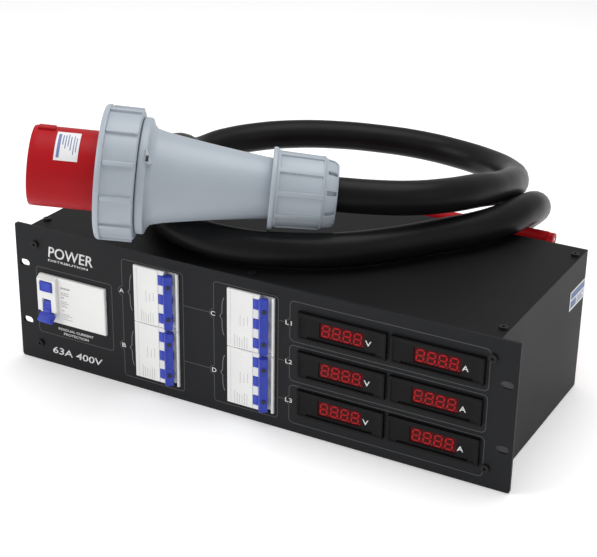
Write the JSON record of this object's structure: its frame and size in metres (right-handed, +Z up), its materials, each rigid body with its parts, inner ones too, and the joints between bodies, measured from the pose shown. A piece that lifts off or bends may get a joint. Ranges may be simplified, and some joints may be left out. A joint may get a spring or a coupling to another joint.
{
  "type": "portable power distribution box",
  "caption": "Rack-mount power distribution box with supply lead and plug, residual current breaker, breakers, meters and lidded outlets.",
  "frame": {"origin": "middle of the case's underside", "axes": "+X to the right along the front panel, +Y to the back, +Z up"},
  "size_m": [0.4826, 0.4963, 0.2618],
  "materials": {
    "powder_coat": "satin",
    "panel_paint": "satin",
    "zinc": "satin",
    "black_screw": "satin",
    "white_plastic": "satin",
    "blue_plastic": "satin",
    "meter_plastic": "satin",
    "display_red": "gloss",
    "circuit_board": "satin",
    "red_plastic": "satin",
    "grey_plastic": "satin",
    "brass": "satin",
    "black_rubber": "matte",
    "black_plastic": "satin",
    "terminal_plastic": "matte",
    "transformer_blue": "satin",
    "wire_insulation": "satin"
  },
  "bodies": {
    "case": {"chassis_tray": "powder_coat", "top_cover": "powder_coat", "top_braces": "zinc", "rear_panel": "powder_coat", "front_panel": "panel_paint", "cover_screws": "black_screw", "rear_screws": "black_screw", "panel_screws": "black_screw", "mounting_plate": "zinc", "din_rails": "zinc", "rcd_body": "white_plastic", "breaker_a": "white_plastic", "breaker_b": "white_plastic", "breaker_c": "white_plastic", "breaker_d": "white_plastic", "voltmeter_l1": "meter_plastic", "voltmeter_l2": "meter_plastic", "voltmeter_l3": "meter_plastic", "ammeter_l1": "meter_plastic", "ammeter_l2": "meter_plastic", "ammeter_l3": "meter_plastic", "meter_windows": "display_red", "meter_boards": "circuit_board", "meter_clips": "zinc", "outlet_1": "red_plastic", "outlet_2": "red_plastic", "outlet_3": "red_plastic", "outlet_4": "red_plastic", "hinge_pins": "zinc", "outlet_contacts": "brass", "outlet_gaskets": "black_rubber", "outlet_screws": "zinc", "cable_gland": "black_plastic", "gland_dome_nut": "black_plastic", "gland_locknut": "black_plastic", "supply_cable": "black_rubber", "plug_sleeve": "red_plastic", "plug_housing": "grey_plastic", "plug_pins": "brass", "plug_contact_carrier": "black_plastic", "terminal_block": "terminal_plastic", "current_transformers": "transformer_blue", "earth_stud": "brass", "supply_wires": "wire_insulation"},
    "toggle": {"rcd_toggle": "blue_plastic"},
    "test_button": {"rcd_test_button": "blue_plastic"},
    "breaker_handle_a": {"handle_a": "blue_plastic"},
    "breaker_handle_b": {"handle_b": "blue_plastic"},
    "breaker_handle_c": {"handle_c": "blue_plastic"},
    "breaker_handle_d": {"handle_d": "blue_plastic"},
    "lid_1": {"outlet_lid_1": "red_plastic"},
    "lid_2": {"outlet_lid_2": "red_plastic"},
    "lid_3": {"outlet_lid_3": "red_plastic"},
    "lid_4": {"outlet_lid_4": "red_plastic"},
    "locking_ring": {"plug_locking_ring": "grey_plastic"},
    "gland_nut": {"plug_gland_nut": "grey_plastic"}
  },
  "joints": [
    {"name": "breaker_a_switch", "type": "hinge", "parent": "case", "child": "breaker_handle_a", "pos_m": [-0.0838, -0.0975, 0.09325], "axis": [0, 0, 1], "range_deg": [-50, 0]},
    {"name": "breaker_b_switch", "type": "hinge", "parent": "case", "child": "breaker_handle_b", "pos_m": [-0.0838, -0.0975, 0.03925], "axis": [0, 0, 1], "range_deg": [-50, 0]},
    {"name": "breaker_c_switch", "type": "hinge", "parent": "case", "child": "breaker_handle_c", "pos_m": [0.0107, -0.0975, 0.09325], "axis": [0, 0, 1], "range_deg": [-50, 0]},
    {"name": "breaker_d_switch", "type": "hinge", "parent": "case", "child": "breaker_handle_d", "pos_m": [0.0107, -0.0975, 0.03925], "axis": [0, 0, 1], "range_deg": [-50, 0]},
    {"name": "rcd_switch", "type": "hinge", "parent": "case", "child": "toggle", "pos_m": [-0.2055, -0.1015, 0.059], "axis": [1, 0, 0], "range_deg": [-60, 0]},
    {"name": "rcd_test", "type": "slide", "parent": "case", "child": "test_button", "axis": [0, 1, 0], "range_m": [0, 0.0015], "stiffness_N_per_m": 400},
    {"name": "lid_1_hinge", "type": "hinge", "parent": "case", "child": "lid_1", "pos_m": [0.146, 0.16, 0.11], "axis": [1, 0, 0], "range_deg": [0, 50], "stiffness_Nm_per_rad": 0.02, "springref_deg": -20.05},
    {"name": "lid_2_hinge", "type": "hinge", "parent": "case", "child": "lid_2", "pos_m": [0.06, 0.16, 0.11], "axis": [1, 0, 0], "range_deg": [0, 50], "stiffness_Nm_per_rad": 0.02, "springref_deg": -20.05},
    {"name": "lid_3_hinge", "type": "hinge", "parent": "case", "child": "lid_3", "pos_m": [-0.026, 0.16, 0.11], "axis": [1, 0, 0], "range_deg": [0, 95], "stiffness_Nm_per_rad": 0.02, "springref_deg": -20.05},
    {"name": "lid_4_hinge", "type": "hinge", "parent": "case", "child": "lid_4", "pos_m": [-0.112, 0.16, 0.11], "axis": [1, 0, 0], "range_deg": [0, 95], "stiffness_Nm_per_rad": 0.02, "springref_deg": -20.05},
    {"name": "ring_turn", "type": "hinge", "parent": "case", "child": "locking_ring", "pos_m": [-0.12243, -0.11026, 0.2039], "axis": [0.8796, 0.4677, -0.0872], "range_deg": [0, 30]},
    {"name": "nut_turn", "type": "hinge", "parent": "case", "child": "gland_nut", "pos_m": [0.00071, -0.04479, 0.1917], "axis": [0.8796, 0.4677, -0.0872], "range_deg": [0, 90]}
  ]
}
